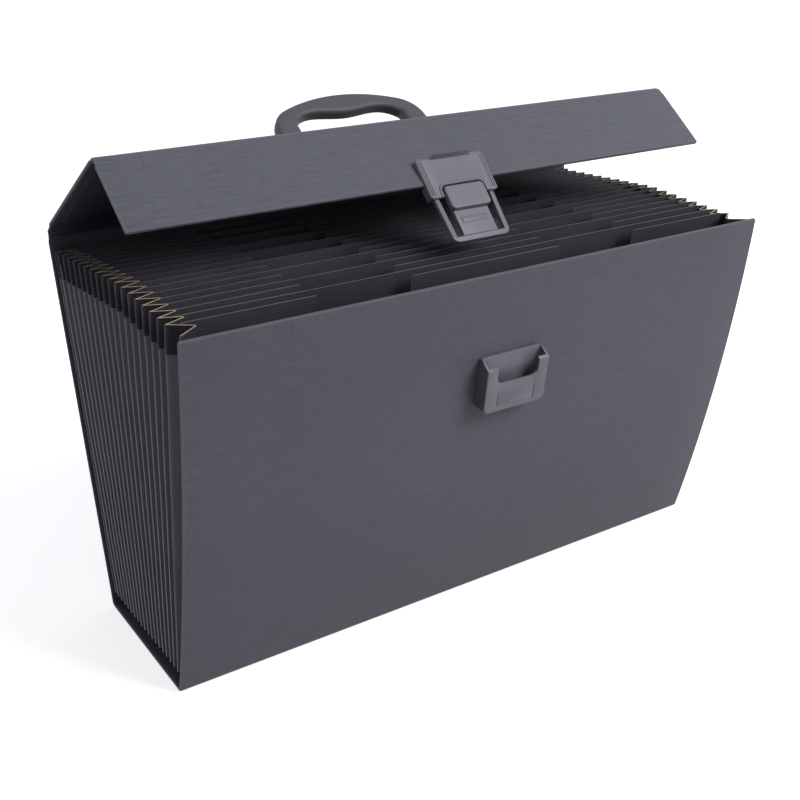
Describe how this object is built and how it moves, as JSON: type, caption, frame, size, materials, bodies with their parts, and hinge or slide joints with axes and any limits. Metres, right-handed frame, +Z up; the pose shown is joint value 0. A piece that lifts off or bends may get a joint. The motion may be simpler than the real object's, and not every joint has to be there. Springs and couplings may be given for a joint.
{
  "type": "expanding file",
  "caption": "Portable expanding file: a folding board cover with a carrying handle and a clip latch, round a pleated accordion of divided pockets that fans open.",
  "frame": {"origin": "centre of the bottom board's underside, on the surface that the file stands on", "axes": "+X along the width, +Y towards the back board, +Z up"},
  "size_m": [0.385, 0.1893, 0.2888],
  "materials": {
    "cover": "matte wrap with a fine linen emboss over board",
    "lining": "smooth dark lining paper",
    "divider": "smooth coloured card",
    "gusset": "creased strong paper",
    "gusset_tape": "woven reinforcing tape",
    "handle": "fine moulded texture",
    "latch": "smooth moulded satin",
    "catch": "smooth moulded satin",
    "plate": "plain pressed strip",
    "rivet": "plain"
  },
  "bodies": {
    "base": {"bottom_board": "cover", "bottom_lining": "lining", "pocket_floor": "gusset", "gusset_left": "gusset", "gusset_right": "gusset", "gusset_tape_left": "gusset_tape", "gusset_tape_right": "gusset_tape"},
    "front": {"front_board": "cover", "front_lining": "lining", "catch": "catch", "catch_plate": "plate", "catch_rivets": "rivet"},
    "back": {"back_board": "cover", "back_lining": "lining"},
    "lid_hinge": {"lid_hinge_strip": "cover"},
    "lid": {"lid_board": "cover", "lid_lining": "lining", "handle_grip": "handle", "handle_plate": "plate", "handle_rivets": "rivet"},
    "flap_hinge": {"flap_hinge_strip": "cover"},
    "flap": {"flap_board": "cover", "flap_lining": "lining", "latch_housing": "latch", "latch_frame": "latch", "latch_plate": "plate", "latch_rivets": "rivet"},
    "button": {"latch_button": "latch"},
    "leaf_01": {"divider_01": "divider"},
    "leaf_02": {"divider_02": "divider"},
    "leaf_03": {"divider_03": "divider"},
    "leaf_04": {"divider_04": "divider"},
    "leaf_05": {"divider_05": "divider"},
    "leaf_06": {"divider_06": "divider"},
    "leaf_07": {"divider_07": "divider"},
    "leaf_08": {"divider_08": "divider"},
    "leaf_09": {"divider_09": "divider"},
    "leaf_10": {"divider_10": "divider"},
    "leaf_11": {"divider_11": "divider"},
    "leaf_12": {"divider_12": "divider"},
    "leaf_13": {"divider_13": "divider"},
    "leaf_14": {"divider_14": "divider"},
    "leaf_15": {"divider_15": "divider"},
    "leaf_16": {"divider_16": "divider"},
    "leaf_17": {"divider_17": "divider"},
    "leaf_18": {"divider_18": "divider"}
  },
  "joints": [
    {"name": "accordion_close", "type": "hinge", "parent": "base", "child": "front", "pos_m": [0, -0.0515, 0], "axis": [-1, 0, 0], "range_deg": [-4.6, 10.05], "deforming": ["gusset_left", "gusset_right", "gusset_tape_left", "gusset_tape_right"]},
    {"name": "back_lean", "type": "hinge", "parent": "base", "child": "back", "pos_m": [0, 0.0515, 0], "axis": [1, 0, 0], "range_deg": [-4.73, 10.32]},
    {"name": "lid_fold", "type": "hinge", "parent": "back", "child": "lid_hinge", "pos_m": [0, 0.09271, 0.22679], "axis": [1, 0, 0], "range_deg": [-10.04, 21.92]},
    {"name": "divider_01_lean", "type": "hinge", "parent": "base", "child": "leaf_01", "pos_m": [0, -0.04384, 0.0044], "axis": [-1, 0, 0], "range_deg": [-3.18, 6.92]},
    {"name": "divider_02_lean", "type": "hinge", "parent": "base", "child": "leaf_02", "pos_m": [0, -0.03868, 0.0044], "axis": [-1, 0, 0], "range_deg": [-2.71, 5.9]},
    {"name": "divider_03_lean", "type": "hinge", "parent": "base", "child": "leaf_03", "pos_m": [0, -0.03353, 0.0044], "axis": [-1, 0, 0], "range_deg": [-2.25, 4.88]},
    {"name": "divider_04_lean", "type": "hinge", "parent": "base", "child": "leaf_04", "pos_m": [0, -0.02837, 0.0044], "axis": [-1, 0, 0], "range_deg": [-1.78, 3.87]},
    {"name": "divider_05_lean", "type": "hinge", "parent": "base", "child": "leaf_05", "pos_m": [0, -0.02321, 0.0044], "axis": [-1, 0, 0], "range_deg": [-1.31, 2.85]},
    {"name": "divider_06_lean", "type": "hinge", "parent": "base", "child": "leaf_06", "pos_m": [0, -0.01805, 0.0044], "axis": [-1, 0, 0], "range_deg": [-0.85, 1.83]},
    {"name": "divider_07_lean", "type": "hinge", "parent": "base", "child": "leaf_07", "pos_m": [0, -0.01289, 0.0044], "axis": [-1, 0, 0], "range_deg": [-0.38, 0.81]},
    {"name": "divider_08_lean", "type": "hinge", "parent": "base", "child": "leaf_08", "pos_m": [0, -0.00774, 0.0044], "axis": [-1, 0, 0], "range_deg": [-0.244, 0.122]},
    {"name": "divider_09_lean", "type": "hinge", "parent": "base", "child": "leaf_09", "pos_m": [0, -0.00258, 0.0044], "axis": [-1, 0, 0], "range_deg": [-1.26, 0.59]},
    {"name": "divider_10_lean", "type": "hinge", "parent": "base", "child": "leaf_10", "pos_m": [0, 0.00258, 0.0044], "axis": [-1, 0, 0], "range_deg": [-2.28, 1.05]},
    {"name": "divider_11_lean", "type": "hinge", "parent": "base", "child": "leaf_11", "pos_m": [0, 0.00774, 0.0044], "axis": [-1, 0, 0], "range_deg": [-3.3, 1.52]},
    {"name": "divider_12_lean", "type": "hinge", "parent": "base", "child": "leaf_12", "pos_m": [0, 0.01289, 0.0044], "axis": [-1, 0, 0], "range_deg": [-4.31, 1.99]},
    {"name": "divider_13_lean", "type": "hinge", "parent": "base", "child": "leaf_13", "pos_m": [0, 0.01805, 0.0044], "axis": [-1, 0, 0], "range_deg": [-5.33, 2.45]},
    {"name": "divider_14_lean", "type": "hinge", "parent": "base", "child": "leaf_14", "pos_m": [0, 0.02321, 0.0044], "axis": [-1, 0, 0], "range_deg": [-6.35, 2.92]},
    {"name": "divider_15_lean", "type": "hinge", "parent": "base", "child": "leaf_15", "pos_m": [0, 0.02837, 0.0044], "axis": [-1, 0, 0], "range_deg": [-7.37, 3.38]},
    {"name": "divider_16_lean", "type": "hinge", "parent": "base", "child": "leaf_16", "pos_m": [0, 0.03353, 0.0044], "axis": [-1, 0, 0], "range_deg": [-8.38, 3.85]},
    {"name": "divider_17_lean", "type": "hinge", "parent": "base", "child": "leaf_17", "pos_m": [0, 0.03868, 0.0044], "axis": [-1, 0, 0], "range_deg": [-9.4, 4.31]},
    {"name": "divider_18_lean", "type": "hinge", "parent": "base", "child": "leaf_18", "pos_m": [0, 0.04384, 0.0044], "axis": [-1, 0, 0], "range_deg": [-10.42, 4.78]},
    {"name": "lid_open", "type": "hinge", "parent": "lid_hinge", "child": "lid", "pos_m": [0, 0.08952, 0.23412], "axis": [-1, 0, 0], "range_deg": [0, 110]},
    {"name": "flap_fold", "type": "hinge", "parent": "lid", "child": "flap_hinge", "pos_m": [0, 0.00406, 0.28794], "axis": [-1, 0, 0], "range_deg": [-24.46, 53.42]},
    {"name": "flap_swing", "type": "hinge", "parent": "flap_hinge", "child": "flap", "pos_m": [0, 0.00006, 0.28778], "axis": [-1, 0, 0], "range_deg": [0, 70]},
    {"name": "latch_press", "type": "hinge", "parent": "flap", "child": "button", "pos_m": [0.0023, -0.05865, 0.23402], "axis": [-1, 0, 0], "range_deg": [0, 3.5], "stiffness_Nm_per_rad": 1.2}
  ],
  "couplings": [
    {"joint": "back_lean", "follows": "accordion_close", "ratio": 1.0249},
    {"joint": "lid_fold", "follows": "accordion_close", "ratio": 2.1791},
    {"joint": "divider_01_lean", "follows": "accordion_close", "ratio": 0.68657},
    {"joint": "divider_02_lean", "follows": "accordion_close", "ratio": 0.58531},
    {"joint": "divider_03_lean", "follows": "accordion_close", "ratio": 0.48405},
    {"joint": "divider_04_lean", "follows": "accordion_close", "ratio": 0.38279},
    {"joint": "divider_05_lean", "follows": "accordion_close", "ratio": 0.28153},
    {"joint": "divider_06_lean", "follows": "accordion_close", "ratio": 0.18027},
    {"joint": "divider_07_lean", "follows": "accordion_close", "ratio": 0.079017},
    {"joint": "divider_08_lean", "follows": "accordion_close", "ratio": -0.022242},
    {"joint": "divider_09_lean", "follows": "accordion_close", "ratio": -0.1235},
    {"joint": "divider_10_lean", "follows": "accordion_close", "ratio": -0.22476},
    {"joint": "divider_11_lean", "follows": "accordion_close", "ratio": -0.32602},
    {"joint": "divider_12_lean", "follows": "accordion_close", "ratio": -0.42728},
    {"joint": "divider_13_lean", "follows": "accordion_close", "ratio": -0.52853},
    {"joint": "divider_14_lean", "follows": "accordion_close", "ratio": -0.62979},
    {"joint": "divider_15_lean", "follows": "accordion_close", "ratio": -0.73105},
    {"joint": "divider_16_lean", "follows": "accordion_close", "ratio": -0.83231},
    {"joint": "divider_17_lean", "follows": "accordion_close", "ratio": -0.93357},
    {"joint": "divider_18_lean", "follows": "accordion_close", "ratio": -1.0348},
    {"joint": "flap_fold", "follows": "accordion_close", "ratio": 5.3134}
  ]
}
